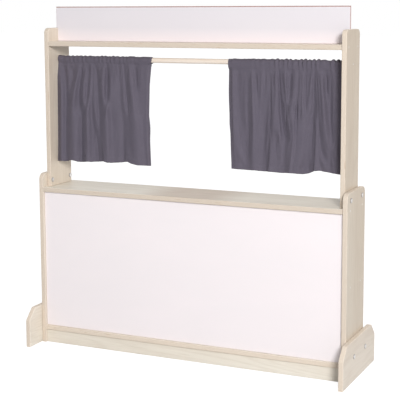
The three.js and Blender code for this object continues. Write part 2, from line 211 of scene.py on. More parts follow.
# Each board's thickness axis, grain axis, tone of the veneers and tone of the plies
BOARDS = {
    "left_side_panel": (0, 2, LIGHT, 1.0),
    "right_side_panel": (0, 2, PAINTED_SHADE, 0.95),
    "left_foot": (0, 1, PALE, 1.07),
    "right_foot": (0, 1, FAIR, 1.02),
    "left_upright": (0, 2, LIGHT, 0.95),
    "right_upright": (0, 2, PAINTED_SHADE, 0.95),
    "counter": (2, 0, PALE, 0.92),
    "middle_shelf": (2, 0, FAIR, 0.95),
    "bottom_shelf": (2, 0, LIGHT, 1.07),
    "header_shelf": (2, 0, LIGHT, 0.9),
    "toe_rail": (1, 0, PALE, 1.0),
}


def toned(colour, tone):
    return tuple(part * share for part, share in zip(colour, tone)) + (1,)


def drawn_out(tree, place, grain_axis, across, along_grain):
    """Places for a pattern that is finer across the grain than along it."""
    factors = [across] * 3
    factors[grain_axis] = along_grain
    return stretched(tree, place, factors)


def veneer(tree, place, grain_axis, streaks, tone):
    """A face's colour: blotches, dark fibres, and growth rings in wide, wandering figures."""
    pale, warm, dark = [toned(colour, tone) for colour in (FACE_PALE, FACE_WARM, GRAIN_DARK)]
    figure_place = drawn_out(tree, place, grain_axis, across=5.5, along_grain=0.55)
    figure = noise(tree, figure_place, scale=1.6, detail=2, roughness=0.45, distortion=0.4)
    rings = arithmetic(tree, "SINE", times(tree, figure, RINGS))
    rings = arithmetic(tree, "MULTIPLY_ADD", rings, 0.5, 0.5)
    narrow_rings = arithmetic(tree, "POWER", rings, 3.0)
    blotches = noise(tree, figure_place, scale=0.9, detail=3)
    face = mixed(tree, rising(tree, blotches, 0.35, 0.68), pale, warm)
    face = mixed(tree, streaks, face, dark)
    return mixed(tree, times(tree, narrow_rings, RING_SHARE), face, dark)


def plies(tree, place, across, cross, grain_axis, streaks, tone):
    """An edge's colour: every other ply shows its end grain, with glue lines and small dark gaps."""
    ply_long, ply_cross = [toned(colour, (tone,) * 3) for colour in (PLY_LONG, PLY_CROSS)]
    pores = noise(tree, place, scale=900, detail=2)
    end_grain = mixed(tree, times(tree, pores, PORE_SHARE), ply_cross, GRAIN_DARK)
    core = mixed(tree, times(tree, cross, CROSS_SHARE), ply_long, end_grain)
    half_a_ply_on = arithmetic(tree, "MULTIPLY_ADD", across, float(PLIES), 0.5)
    glue = arithmetic(tree, "LESS_THAN", arithmetic(tree, "PINGPONG", half_a_ply_on, 0.5), 0.06)
    core = mixed(tree, times(tree, glue, GLUE_SHARE), core, GLUE_LINE)
    core = mixed(tree, times(tree, streaks, 0.5), core, GRAIN_DARK)
    gaps = noise(tree, drawn_out(tree, place, grain_axis, across=380, along_grain=22), scale=1, detail=1)
    return mixed(tree, times(tree, rising(tree, gaps, 0.69, 0.74), GAP_SHARE), core, GLUE_LINE)


def plywood(name, seed, thickness_axis, grain_axis, tone, core_tone, browner_middle):
    """Veneered board: faces with grain along one axis, edges with the plies across the thickness."""
    material, tree, shader = new_material(name)
    coordinates = node(tree, "TexCoord")
    shares = node(tree, "SeparateXYZ", {0: coordinates.outputs["Generated"]})
    across = shares.outputs[thickness_axis]
    start = (seed * 1.7, seed * 2.3, seed * 0.9)
    place = node(tree, "VectorMath", {0: coordinates.outputs["Object"], 1: start}).outputs[0]
    fibre_place = drawn_out(tree, place, grain_axis, across=150, along_grain=5)
    fibres = noise(tree, fibre_place, scale=2.2, detail=4, roughness=0.6)
    streaks = times(tree, rising(tree, fibres, 0.5, 0.78), FIBRE_SHARE)
    face = veneer(tree, place, grain_axis, streaks, tone)
    if browner_middle:
        # browner and darker round the middle of its length
        from_end = arithmetic(tree, "PINGPONG", shares.outputs[grain_axis], 0.5)
        face = mixed(tree, rising(tree, from_end, 0.30, 0.45, "EASE"), face, BROWNER_MIDDLE, "MULTIPLY")
    odd_layers = arithmetic(tree, "PINGPONG", times(tree, across, float(PLIES)), 1.0)
    cross = rising(tree, odd_layers, 0.4, 0.6)
    core = plies(tree, place, across, cross, grain_axis, streaks, core_tone)
    in_core = arithmetic(tree, "GREATER_THAN", arithmetic(tree, "PINGPONG", across, 0.5), FACE_PLY)
    # a clear lacquer, a little rougher on the sanded edges
    roughness = arithmetic(tree, "MULTIPLY_ADD", fibres, 0.14, 0.36)
    roughness = arithmetic(tree, "MULTIPLY_ADD", in_core, 0.12, roughness)
    height = arithmetic(tree, "ADD", fibres, times(tree, cross, times(tree, in_core, 0.6)))
    finish_surface(tree, shader, mixed(tree, in_core, face, core), roughness, height, 0.12, 0.0006, {
        "Specular IOR Level": 0.3, "Coat Weight": 0.04, "Coat Roughness": 0.03,
    })
    return material


# Other hard materials
def marker_surface():
    """Glossy white melamine of the marker panel, with the faintest orange peel and wiped marks."""
    material, tree, shader = new_material("marker_white")
    place = node(tree, "TexCoord").outputs["Object"]
    wipe_place = stretched(tree, place, (2.2, 1, 5.0))
    wipes = noise(tree, wipe_place, scale=1.3, detail=4, roughness=0.55, distortion=0.6)
    tint = mixed(tree, rising(tree, wipes, 0.3, 0.75), srgb(241, 233, 235), srgb(238, 231, 233))
    roughness = arithmetic(tree, "MULTIPLY_ADD", wipes, 0.1, 0.12)
    finish_surface(tree, shader, tint, roughness, noise(tree, place, scale=260, detail=1), 0.06, 0.0003)
    return material


SIGN_SKIN = 0.03
SIGN_FOOT = 0.03
SIGN_WORN = 0.975
# how far up the sign board the painted light from the shelf reaches, as a share of its height
SIGN_PAINTED_LIGHT_REACH = 0.4


def sign_surface():
    """White sign board: melamine faces with painted light towards its foot, and brown hardboard where its
    edges are bevelled or worn.
    """
    material, tree, shader = new_material("sign_white")
    coordinates = node(tree, "TexCoord")
    place = coordinates.outputs["Object"]
    shares = node(tree, "SeparateXYZ", {0: coordinates.outputs["Generated"]})
    across, up = shares.outputs[1], shares.outputs[2]
    in_core = arithmetic(tree, "GREATER_THAN", arithmetic(tree, "PINGPONG", across, 0.5), SIGN_SKIN)
    bevelled = times(tree, in_core, arithmetic(tree, "GREATER_THAN", up, SIGN_FOOT))
    brown_share = arithmetic(tree, "MAXIMUM", bevelled, arithmetic(tree, "GREATER_THAN", up, SIGN_WORN))
    fibres = noise(tree, place, scale=700, detail=3)
    brown = mixed(tree, fibres, srgb(176, 138, 130), srgb(148, 108, 100))
    cloudy = noise(tree, place, scale=3, detail=3)
    white = mixed(tree, cloudy, srgb(224, 219, 223), srgb(220, 215, 220))
    # painted light: the white is made paler towards the foot, for light that the shelf throws up on the
    # board
    # the photograph shows the board paler towards the shelf that it stands on
    white = mixed(tree, rising(tree, up, 0.0, SIGN_PAINTED_LIGHT_REACH), srgb(240, 230, 233), white)
    roughness = arithmetic(tree, "MULTIPLY_ADD", brown_share, 0.5, 0.2)
    height = times(tree, fibres, brown_share)
    finish_surface(tree, shader, mixed(tree, brown_share, white, brown), roughness, height, 0.1, 0.0004)
    return material


def dowel_surface():
    """Turned hardwood with fibres along the rod."""
    material, tree, shader = new_material("dowel_wood")
    place = stretched(tree, node(tree, "TexCoord").outputs["Object"], (4, 160, 160))
    fibres = noise(tree, place, scale=2, detail=4)
    colour = mixed(tree, rising(tree, fibres, 0.4, 0.75), srgb(241, 230, 219), srgb(222, 203, 184))
    roughness = arithmetic(tree, "MULTIPLY_ADD", fibres, 0.15, 0.35)
    finish_surface(tree, shader, colour, roughness, fibres, 0.12, 0.0004)
    return material


def steel_surface():
    """Zinc-plated steel, tarnished in spots, with a painted dark reflection round the rim of a head."""
    material, tree, shader = new_material("zinc_steel")
    coordinates = node(tree, "TexCoord")
    place = coordinates.outputs["Object"]
    tarnish = noise(tree, place, scale=700, detail=4)
    colour = mixed(tree, rising(tree, tarnish, 0.35, 0.75), srgb(222, 219, 216), srgb(207, 203, 200))
    # the fasteners are turned about X, so this is 0 on the axis and 1 at the rim
    centred = node(tree, "VectorMath", {
        0: coordinates.outputs["Generated"], 1: (0, 2, 2), 2: (0, -1, -1),
    }, operation="MULTIPLY_ADD").outputs[0]
    from_axis = node(tree, "VectorMath", {0: centred}, operation="LENGTH").outputs["Value"]
    # painted reflection: the chamfer round the head's rim is darkened as if it mirrored dark surroundings
    rim = times(tree, rising(tree, from_axis, 0.74, 0.95), 0.7)
    colour = mixed(tree, rim, colour, srgb(150, 148, 152))
    roughness = arithmetic(tree, "MULTIPLY_ADD", tarnish, 0.25, 0.24)
    crystals = node(tree, "TexVoronoi", {"Vector": place, "Scale": 1400.0}, feature="F1").outputs[0]
    finish_surface(tree, shader, colour, roughness, crystals, 0.08, 0.0002, {"Metallic": 0.85})
    return material


def dress_frame():
    """Better materials on the CAD nodes that stay."""
    looks = {"marker_panel": marker_surface(), "sign_board": sign_surface(), "curtain_rod": dowel_surface()}
    for number, (name, look) in enumerate(BOARDS.items()):
        looks[name] = plywood("plywood_" + name, number + 1, *look, browner_middle=name == "counter")
    for name, material in looks.items():
        nodes[name].material_slots[0].material = material


# Fasteners, in millimetres. Each shape has its head's face at X = 0 and its body towards -X.
ROUND_STEPS = 28
THREAD_SAMPLES = 5
HEAD_THICKNESS = 2.4
HEAD_CHAMFER = 0.8
HEAD_EASE = 0.15
SOCKET_RADIUS = 2.3
SOCKET_DEPTH = 1.6
SOCKET_NARROWING = 0.97
BOLT_SHANK = 3.0
BOLT_THREADED = 14.0
BOLT_PITCH = 1.0
BOLT_THREAD = 0.5
BOLT_POINT = 0.7
BOLT_TIP = 1.0
SLEEVE_RADIUS = 4.3
SLEEVE_BORE = 3.2
SLEEVE_EASE = 0.3
SCREW_HEAD_DEPTH = 3.2
SCREW_HEAD_EASE = 0.4
SCREW_SHANK = 2.0
SCREW_FLARE = 0.2
SCREW_PLAIN = 12.0
SCREW_PITCH = 2.6
SCREW_THREAD = 0.8
SCREW_TIP = 5.0
RECESS_REACH = 2.2
RECESS_WIDTH = 1.0
RECESS_DEPTH = 1.5
RECESS_NARROWING = 0.55
HARD_EDGE = math.radians(32)
TURN_STEP = 2.2


def thread_points(start, end, radius, pitch):
    """Profile points between two places, close enough together to carry a thread."""
    count = int(round((start - end) / pitch * THREAD_SAMPLES))
    return [(start + (end - start) * index / count, radius) for index in range(count + 1)]


def turned(profile, thread=None):
    """A body turned about the X axis from points (place, radius). A thread is (start, end, pitch, depth)."""
    start, end, pitch, depth = thread or (0, 0, 1, 0)
    body = bmesh.new()
    rings = []
    for place, radius in profile:
        ring = []
        for turn in range(ROUND_STEPS if radius > 0 else 1):
            angle = 2 * math.pi * turn / ROUND_STEPS
            flank = abs(2 * ((place / pitch + turn / ROUND_STEPS) % 1) - 1)
            reach = radius - (depth * flank if end < place < start else 0)
            ring.append(body.verts.new((place, reach * math.cos(angle), reach * math.sin(angle))))
        rings.append(ring)
    for near, far in zip(rings, rings[1:]):
        for turn in range(ROUND_STEPS):
            after = turn + 1
            corners = (near[turn % len(near)], near[after % len(near)],
                       far[after % len(far)], far[turn % len(far)])
            body.faces.new(list(dict.fromkeys(corners)))
    bmesh.ops.recalc_face_normals(body, faces=body.faces)
    return body


def prism(outline, depth, narrowing):
    """A cutter that goes in from the head's face, narrower at its floor than at the face."""
    body = bmesh.new()
    widening = 1 + (1 - narrowing) / depth
    mouth = [body.verts.new((1, y * widening, z * widening)) for y, z in outline]
    floor = [body.verts.new((-depth, y * narrowing, z * narrowing)) for y, z in outline]
    body.faces.new(mouth)
    body.faces.new(floor[::-1])
    for index, corner in enumerate(mouth):
        after = (index + 1) % len(mouth)
        body.faces.new((corner, floor[index], floor[after], mouth[after]))
    bmesh.ops.recalc_face_normals(body, faces=body.faces)
    return body


def socket():
    """The hexagon socket in the heads of bolts and nuts."""
    angles = [math.pi * turn / 3 for turn in range(6)]
    outline = [(SOCKET_RADIUS * math.cos(angle), SOCKET_RADIUS * math.sin(angle)) for angle in angles]
    return prism(outline, SOCKET_DEPTH, SOCKET_NARROWING)


def cross_recess():
    """The cross recess in the heads of the screws."""
    half = RECESS_WIDTH / 2
    quarter = [(half, RECESS_REACH), (half, half), (RECESS_REACH, half)]
    outline = []
    for cosine, sine in ((1, 0), (0, -1), (-1, 0), (0, 1)):
        outline += [(y * cosine - z * sine, y * sine + z * cosine) for y, z in quarter]
    return prism(outline, RECESS_DEPTH, RECESS_NARROWING)


def machined(name, body, cutter):
    """The finished mesh in metres: the body less the cutter, smooth but for its hard edges."""
    objects = []
    for label, shape in (("", body), ("_cutter", cutter)):
        mesh = bpy.data.meshes.new(name + label)
        shape.to_mesh(mesh)
        shape.free()
        objects.append(placed(name + label, mesh))
    block, tool = objects
    recess = block.modifiers.new("recess", "BOOLEAN")
    recess.object = tool
    recess.solver = "EXACT"
    bpy.context.view_layer.update()
    mesh = bpy.data.meshes.new_from_object(evaluated(block))
    for piece in objects:
        bpy.data.meshes.remove(piece.data)
    mesh.transform(Matrix.Scale(MM, 4))
    mesh.shade_smooth()
    mesh.set_sharp_from_angle(angle=HARD_EDGE)
    mesh.materials.clear()
    mesh.materials.append(STEEL)
    return mesh


def length_and_radius(node_name):
    low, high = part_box(node_name)
    return (high.x - low.x) / MM, (high.y - low.y) / MM / 2


def screw_mesh(node_name):
    length, head = length_and_radius(node_name)
    thread_start, thread_end = -SCREW_HEAD_DEPTH - SCREW_PLAIN, SCREW_TIP - length
    radius = SCREW_SHANK + SCREW_FLARE
    profile = [
        (0, 0), (0, head - SCREW_HEAD_EASE),
        (-SCREW_HEAD_EASE * 0.3, head - SCREW_HEAD_EASE * 0.3), (-SCREW_HEAD_EASE, head),
        (-SCREW_HEAD_DEPTH, radius), (-SCREW_HEAD_DEPTH - 0.8, SCREW_SHANK),
        *thread_points(thread_start, thread_end, radius, SCREW_PITCH),
        (thread_end - SCREW_TIP * 0.5, SCREW_SHANK * 0.55), (-length, 0),
    ]
    thread = (thread_start, thread_end, SCREW_PITCH, SCREW_THREAD)
    return machined("screw", turned(profile, thread), cross_recess())


def flat_head(radius):
    """The profile of a bolt's or nut's head, with a chamfer round its face."""
    return [
        (0, 0), (0, radius - HEAD_CHAMFER),
        (-HEAD_CHAMFER * 0.3, radius - HEAD_CHAMFER * 0.3), (-HEAD_CHAMFER, radius),
        (HEAD_EASE - HEAD_THICKNESS, radius), (-HEAD_THICKNESS, radius - HEAD_EASE),
    ]


def bolt_mesh(node_name):
    length, head = length_and_radius(node_name)
    thread_start, thread_end = BOLT_THREADED - length, BOLT_TIP - length
    profile = [
        *flat_head(head), (-HEAD_THICKNESS, BOLT_SHANK),
        *thread_points(thread_start, thread_end, BOLT_SHANK, BOLT_PITCH),
        (-length, BOLT_SHANK - BOLT_POINT), (-length, 0),
    ]
    thread = (thread_start, thread_end, BOLT_PITCH, BOLT_THREAD)
    return machined("bolt", turned(profile, thread), socket())


def nut_mesh(node_name):
    """A sleeve nut: a head like the bolt's, and a sleeve with a bore that the bolt goes into."""
    length, head = length_and_radius(node_name)
    profile = [
        *flat_head(head), (-HEAD_THICKNESS, SLEEVE_RADIUS), (SLEEVE_EASE - length, SLEEVE_RADIUS),
        (-length, SLEEVE_RADIUS - SLEEVE_EASE), (-length, SLEEVE_BORE),
        (-HEAD_THICKNESS, SLEEVE_BORE), (-HEAD_THICKNESS, 0),
    ]
    return machined("nut", turned(profile), socket())


def dress_fasteners():
    """Turned screws, bolts and nuts in the places of the CAD's, each turned by some other angle."""
    for ending, make in (("_screw", screw_mesh), ("_bolt", bolt_mesh), ("_nut", nut_mesh)):
        names = [name for name in nodes if name.endswith(ending)]
        mesh = make(names[0])
        for index, name in enumerate(names):
            low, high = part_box(name)
            middle = (low + high) / 2
            faces_right = middle.x < 0 if ending == "_nut" else middle.x > 0
            piece = placed(name + "_turned", mesh)
            piece.location = (high.x if faces_right else low.x, middle.y, middle.z)
            piece.rotation_euler = (index * TURN_STEP, 0, 0 if faces_right else math.pi)
            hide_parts(name)
            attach(piece, "frame")


# Curtains. Heights, widths and depths of the hanging cloth are in millimetres.
ROD_HEIGHT = in_mm(sum(corner.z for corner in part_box("curtain_rod")) / 2)
FOOT_HEIGHT = in_mm(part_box("left_curtain")[0].z)
UPRIGHT_INSIDE = in_mm(-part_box("left_upright")[1].x)
POCKET_RADIUS = 11.9
SEAM_FORWARD = 8.0
HEM_DEPTH = 22.0
HEM_SWELL = 0.35
HEM_DRAW = 0.5
SIDE_HEM = 9.0
SIDE_SWELL = 0.3
SIDE_DRAW = 0.4
CLOTH_THICKNESS = 1.1
LAYER_GAP = 1.5
COLUMNS = 208
PANEL_ROWS = 80
ROW_STEPS = 1600
BEYOND = 0.04
RUFFLE_PITCH = 19.0
TUCK_SHARE = 0.35
SEAM_PINCH = 0.6
END_REACH = 8.0
# Folds: how steep they are, how steep the cloth ever gets, how wide their sides are drawn, the share of
# the width over which the cloth comes back to its own plane, and how much flatter it is at the seam
STEEPNESS = 1.75
STEEPEST = 1.6
SIDE_WIDTH = 1.3
FOLD_REACH = 0.16
FLATTER_AT_SEAM = 0.65
SETTLING_FRAMES = 9
SETTLING_LIMIT = 2.4
STITCH = 3.0
STITCH_STEP = 3.8
THREAD = 0.5
THREAD_SIDES = 5

# A fold is given by its sides. Each is a way down the cloth as points (share of the drop, share of the
# width from left to right), the side's width where it starts and where it ends as shares of the
# curtain's width, and how steep it is: above 0 it faces left, below 0 it faces right.
LEFT_FOLDS = [
    ([(0, .19), (.1, .19), (.2, .155), (.3, .13), (.4, .115), (.55, .09), (1, .085)], .014, .045, .8),
    ([(0, .07), (.16, .08), (.4, .085)], .009, .014, .6),
    ([(0, .145), (.14, .16)], .008, .01, .6),
    ([(0, .28), (.2, .245), (.3, .235), (.4, .24), (.5, .265), (1, .26)], .014, .034, .8),
    ([(0, .345), (.1, .345), (.2, .335), (.3, .325), (.4, .305), (.5, .285)], .013, .015, .9),
    ([(0, .39), (.2, .375), (.4, .365), (.6, .385), (.8, .415), (1, .43)], .01, .026, .5),
    ([(0, .42), (.1, .44), (.3, .455), (.5, .47), (.7, .47), (1, .485)], .016, .034, .9),
    ([(0, .475), (.13, .47)], .008, .009, .7),
    ([(0, .505), (.1, .505)], .008, .009, .5),
    ([(0, .55), (.2, .55), (.3, .545), (.4, .525), (.5, .505)], .013, .015, .9),
    ([(0, .6), (.22, .61)], .01, .012, .3),
    ([(0, .685), (.2, .69), (.4, .7), (.6, .725), (1, .73)], .012, .024, .5),
    ([(0, .745), (.1, .745), (.2, .755), (.4, .785), (.7, .78), (1, .79)], .019, .05, .9),
    ([(0, .88), (.25, .87)], .016, .02, .4),
    ([(0, .02), (.3, .04), (1, .03)], .015, .02, -.5),
    ([(.05, .225), (.3, .18), (.5, .15)], .014, .025, -.6),
    ([(.15, .29), (.42, .275)], .015, .014, -.5),
    ([(.5, .225), (.8, .205), (1, .195)], .02, .03, -.6),
    ([(0, .37), (.3, .345), (.5, .32), (.7, .33), (1, .345)], .01, .036, -.6),
    ([(0, .4), (.4, .41), (.6, .42)], .009, .014, -.4),
    ([(0, .52), (.3, .505), (.5, .545), (.7, .56), (1, .56)], .012, .03, -.7),
    ([(0, .715), (.3, .73), (.5, .75)], .009, .012, -.5),
    ([(0, .82), (.3, .83), (.5, .84)], .024, .02, -.4),
    ([(.5, .89), (.7, .91), (1, .92)], .03, .04, -.4),
]
RIGHT_FOLDS = [
    ([(0, .11), (.2, .12), (.4, .14), (.6, .17)], .045, .035, .35),
    ([(0, .175), (.2, .185), (.4, .19), (.6, .2), (.8, .2), (1, .21)], .014, .022, .6),
    ([(0, .26), (.26, .26)], .022, .008, .6),
    ([(0, .325), (.13, .33)], .007, .008, .6),
    ([(0, .35), (.14, .355)], .007, .008, .6),
    ([(0, .39), (.2, .38), (.4, .365), (.6, .345), (.8, .33), (1, .32)], .015, .024, .9),
    ([(0, .44), (.14, .445)], .008, .009, .6),
    ([(0, .462), (.2, .468), (.3, .475), (.4, .49), (.5, .51), (.65, .535), (.8, .53), (1, .515)],
     .015, .032, .9),
    ([(.56, .39), (.75, .44), (1, .45)], .03, .06, .5),
    ([(0, .555), (.2, .545), (.3, .53), (.4, .51)], .014, .016, .9),
    ([(0, .62), (.2, .62), (.3, .61), (.45, .61)], .015, .018, .8),
    ([(0, .665), (.2, .66), (.45, .67)], .008, .012, .6),
    ([(0, .7), (.1, .69), (.26, .685)], .009, .009, .8),
    ([(0, .745), (.1, .755), (.2, .77), (.4, .78), (.6, .8), (.75, .825), (.9, .83)], .018, .028, .9),
    ([(.1, .74), (.3, .745), (.45, .735), (.6, .72), (.8, .71), (1, .71)], .012, .034, .6),
    ([(0, .835), (.1, .845), (.24, .85)], .009, .011, .7),
    ([(0, .87), (.25, .89), (.5, .885), (.8, .89), (1, .9)], .012, .024, .6),
    ([(.76, .775), (.92, .835)], .01, .008, -.7),
    ([(.86, .77), (1, .84)], .01, .012, .6),
    ([(.88, .7), (.97, .64)], .01, .012, .6),
    ([(.78, .08), (.93, .085)], .012, .01, .4),
    ([(.85, .1), (.97, .14)], .01, .01, .4),
    ([(0, .05), (.45, .055), (.7, .1), (.95, .13)], .03, .03, -.4),
    ([(.05, .215), (.3, .23), (.5, .25), (1, .26)], .012, .05, -.5),
    ([(0, .42), (.4, .43), (.6, .455), (.7, .48)], .016, .016, -.7),
    ([(0, .5), (.2, .51), (.34, .51)], .014, .009, -.7),
    ([(.3, .565), (.65, .567), (.75, .56), (1, .53)], .008, .012, -1),
    ([(0, .645), (.3, .642), (.45, .65)], .01, .014, -.6),
    ([(.35, .68), (.6, .67), (.8, .655), (1, .61)], .02, .04, -.6),
    ([(0, .72), (.3, .728), (.42, .72)], .01, .012, -.6),
    ([(.45, .765), (.72, .775)], .008, .011, -.6),
    ([(0, .8), (.2, .82), (.4, .84), (.6, .86), (.75, .875)], .014, .022, -.7),
]

# How each curtain hangs, in mm. The nudge moves it to the right. Its ends are points (share of the drop,
# to the right of the solid's end, in front of the rod). The stand is how far forward it hangs at its ends.
# The hem above the solid's foot and the ruffles are points (share of the width, mm). The overhang is how
# far the pocket goes past its right end.
LEFT_SHAPE = {
    "seam_height": 1072.0,
    "nudge": 0,
    "folds": LEFT_FOLDS,
    "left_end": [(0, -6, 10), (.12, -13, 19), (1, -15, 23)],
    "right_end": [(0, 8, -1), (.1, 3, -1), (.2, -1, -2), (.5, -5, -5), (.6, 0, -8), (1, 5, -3)],
    "stand": (31, 2),
    "hem": [(-.03, -5), (.07, -3), (.11, 1), (.18, -3), (.35, 0), (.485, 4), (.52, -1), (.65, 3), (.75, 8),
            (.79, 2), (.855, -4), (1, -2)],
    "ruffles": [(0, 1), (.08, 2.2), (.65, 2.6), (.8, 1), (1, .3)],
    "overhang": 6.0,
}
RIGHT_SHAPE = {
    "seam_height": 1062.0,
    "nudge": 1,
    "folds": RIGHT_FOLDS,
    "left_end": [(0, 0, 0), (.2, 0, -1), (.45, 4, -2), (.75, 5, 7), (1, 10, 8)],
    "right_end": [(0, 4, -1), (1, 4, 1)],
    "stand": (0, 0),
    "hem": [(0, 6), (.3, 4), (.5, 2), (.64, 2), (.69, 7), (.74, 16), (.79, 17.5), (.86, 14), (.94, 8),
            (1, 7)],
    "ruffles": [(0, .2), (.25, .8), (.42, 2.6), (.55, 4), (.9, 4.2), (1, 2)],
    "overhang": 0.0,
}
# Reaches down the panel, as shares of the drop
SEAM_REACH = 0.04
PINCH_REACH = 0.008
STAND_REACH = 0.35
LEAD_IN = 0.03
GROWTH = 0.1
RUN_OUT = 0.06
FADING = 0.14
# The section of the pocket
ARC_STEPS = 24
WAVE_SHARE = 0.4
WAVE_LIMITS = (-1.7, 4.0)
WAVE_SLANT = 0.35
# The raw edge inside the seam: mm behind the layers' gap, mm above the seam
RAW_EDGE = ((0.6, -6.5), (0.3, -3), (0, 0))
# A stitch: share of its length, mm above the cloth, share of the thread's thickness
STITCH_ARCH = ((0.0, -0.3, 0.6), (0.25, 0.12, 1.0), (0.75, 0.12, 1.0), (1.0, -0.3, 0.6))
ABOVE_CLOTH = 1.8
PROBE_LENGTH = 4.0


def soft_step(value):
    """0 below 0 and 1 above 1, with a smooth step between them."""
    value = np.clip(value, 0, 1)
    return value * value * (3 - 2 * value)


def along(points, wanted, column=1):
    """The value of a line of points at a place, from one of their columns."""
    keys = np.array(points, float)
    return np.interp(wanted, keys[:, 0], keys[:, column])


def running_length(points):
    """How far along a line each of its points is."""
    return np.concatenate([[0], np.cumsum(np.linalg.norm(np.diff(points, axis=0), axis=1))])


def at_length(values, length, wanted):
    """What the values of a line's points are at another length along it."""
    return np.stack([np.interp(wanted, length, values[:, axis]) for axis in range(3)], -1)


def toward_camera(x, depth, height):
    """A point set back by depth from the rod's plane, on the line of sight through (x, 0, height)."""
    eye = np.array(CAMERA_PLACE) / MM
    share = depth / eye[1]
    return np.stack([x + (eye[0] - x) * share, depth, height + (eye[2] - height) * share], -1)


def fold_strength(drop, start, end):
    """How much of a fold there is at a height: it grows in below its start and dies out at its end."""
    strength = 1.0
    if start > 0:
        strength *= soft_step((drop - start + LEAD_IN) / GROWTH)
    if end < 1:
        strength *= soft_step((end + RUN_OUT - drop) / FADING)
    return strength


def fold_profile(folds, drop, shares, width):
    """How far the cloth stands back along one row, in mm: the folds' slopes added up from left to right."""
    slope = np.zeros(len(shares))
    for way, start_width, end_width, steepness in folds:
        start, end = way[0][0], way[-1][0]
        if not start - LEAD_IN <= drop <= end + RUN_OUT:
            continue
        part = np.clip((drop - start) / (end - start), 0, 1)
        spread = SIDE_WIDTH * (start_width + (end_width - start_width) * part)
        side = np.exp(-((shares - along(way, drop)) / spread) ** 2)
        slope -= STEEPNESS * steepness * fold_strength(drop, start, end) * side
    step = (shares[1] - shares[0]) * width
    profile = np.cumsum(STEEPEST * np.tanh(slope / STEEPEST)) * step
    level = profile - np.linspace(profile[0], profile[-1], len(profile))
    reach = int(FOLD_REACH / (shares[1] - shares[0]))
    window = np.hanning(2 * reach + 1)
    trend = np.convolve(np.pad(level, reach, mode="reflect"), window / window.sum(), mode="valid")
    return level - trend


def ruffle(x):
    """Small pleats as a gathering thread draws them: narrow ridges, unevenly spaced, with wider valleys."""
    phase = math.pi * x / RUFFLE_PITCH + 1.1 * np.sin(x / 41.0) + 0.6 * np.sin(x / 17.0 + 1.0)
    fine = 0.25 * np.sin(2.7 * phase + 0.5)
    return np.cos(phase) ** 4 - 0.38 + fine


def row_depth(shape, drop, shares, width):
    """How far one row stands back from the rod's plane, in mm: its folds, tucks and stand."""
    flattened = 1 - FLATTER_AT_SEAM * math.exp(-(drop / SEAM_REACH) ** 2)
    profile = fold_profile(shape["folds"], drop, shares, width) * flattened
    pleats = along(shape["ruffles"], shares) * ruffle(shares * width)
    tucks = -TUCK_SHARE * pleats * math.exp(-drop / SEAM_REACH)
    left_stand, right_stand = shape["stand"]
    forward = left_stand + (right_stand - left_stand) * shares
    standing = -forward * soft_step(drop / STAND_REACH) - SEAM_FORWARD
    pinched = SEAM_PINCH * math.exp(-(drop / PINCH_REACH) ** 2)
    return profile + tucks + standing + pinched


def panel_row(shape, drop, left, right):
    """One row of the panel as evenly spaced points, from its left end to its right end."""
    shares = np.linspace(-BEYOND, 1 + BEYOND, ROW_STEPS)
    places = left + (right - left) * shares
    depth = row_depth(shape, drop, shares, right - left)
    ends = [
        (x + along(shape[end], drop), -along(shape[end], drop, 2))
        for x, end in ((left, "left_end"), (right, "right_end"))
    ]
    inside = (places > ends[0][0]) & (places < ends[1][0])
    # the cloth's ends keep their own stand
    for (x, y), index in zip(ends, (0, -1)):
        near = np.exp(-((places - x) / END_REACH) ** 2)
        depth = depth + (y - depth[inside][index]) * near
    x = np.concatenate([[ends[0][0]], places[inside], [ends[1][0]]])
    foot = FOOT_HEIGHT + along(shape["hem"], (x - left) / (right - left))
    height = shape["seam_height"] + drop * (foot - shape["seam_height"])
    points = toward_camera(x, np.interp(x, places, depth), height)
    limit = UPRIGHT_INSIDE - CLOTH_THICKNESS
    points[:, 0] = np.clip(points[:, 0], -limit, limit)
    run = running_length(points[:, :2])
    return at_length(points, run, np.linspace(0, run[-1], COLUMNS))


def hanging_panel(name, shape, side):
    """The panel as a grid of points: rows from the seam to the hem, columns from the outer edge inwards."""
    low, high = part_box(name)
    left, right = low.x / MM + shape["nudge"], high.x / MM + shape["nudge"]
    rows = [panel_row(shape, drop, left, right) for drop in np.linspace(0, 1, PANEL_ROWS)]
    grid = np.array([row if side < 0 else row[::-1] for row in rows])
    # the cloth's own stiffness evens out what lies between two heights
    for _ in range(2):
        grid[2:-1] = (grid[1:-2] + 2 * grid[2:-1] + grid[3:]) / 4
    return grid


def grid_mesh(name, grid, flip):
    rows, columns = grid.shape[:2]
    corner = np.arange(rows * columns).reshape(rows, columns)
    faces = np.stack([corner[:-1, :-1], corner[1:, :-1], corner[1:, 1:], corner[:-1, 1:]], -1).reshape(-1, 4)
    if flip:
        faces = faces[:, ::-1]
    mesh = bpy.data.meshes.new(name)
    mesh.from_pydata((grid.reshape(-1, 3) * MM).tolist(), [], faces.tolist())
    mesh.update()
    return mesh


def settled(name, grid, flip):
    """The panel after hanging from its seam for a moment, so that its folds settle."""
    piece = placed(name, grid_mesh(name, grid, flip))
    rows, columns = grid.shape[:2]
    held = piece.vertex_groups.new(name="held")
    held.add(list(range(columns * 2)), 1.0, "REPLACE")
    cloth = piece.modifiers.new("hang", "CLOTH")
    settings = cloth.settings
    settings.quality = 6
    settings.mass = 0.06
    settings.tension_stiffness = settings.compression_stiffness = 25
    settings.shear_stiffness = 8
    settings.bending_stiffness = 0.8
    settings.vertex_group_mass = "held"
    settings.pin_stiffness = 1
    cloth.collision_settings.use_collision = False
    cloth.point_cache.frame_start = 1
    cloth.point_cache.frame_end = SETTLING_FRAMES
    scene = bpy.context.scene
    for number in range(1, SETTLING_FRAMES + 1):
        scene.frame_set(number)
    moved = np.array([vertex.co for vertex in evaluated(piece).data.vertices])
    moved = moved.reshape(rows, columns, 3) / MM
    scene.frame_set(1)
    bpy.data.objects.remove(piece)
    shift = moved - grid
    length = np.linalg.norm(shift, axis=-1, keepdims=True)
    return grid + shift * np.minimum(1, SETTLING_LIMIT / np.maximum(length, 1e-6))


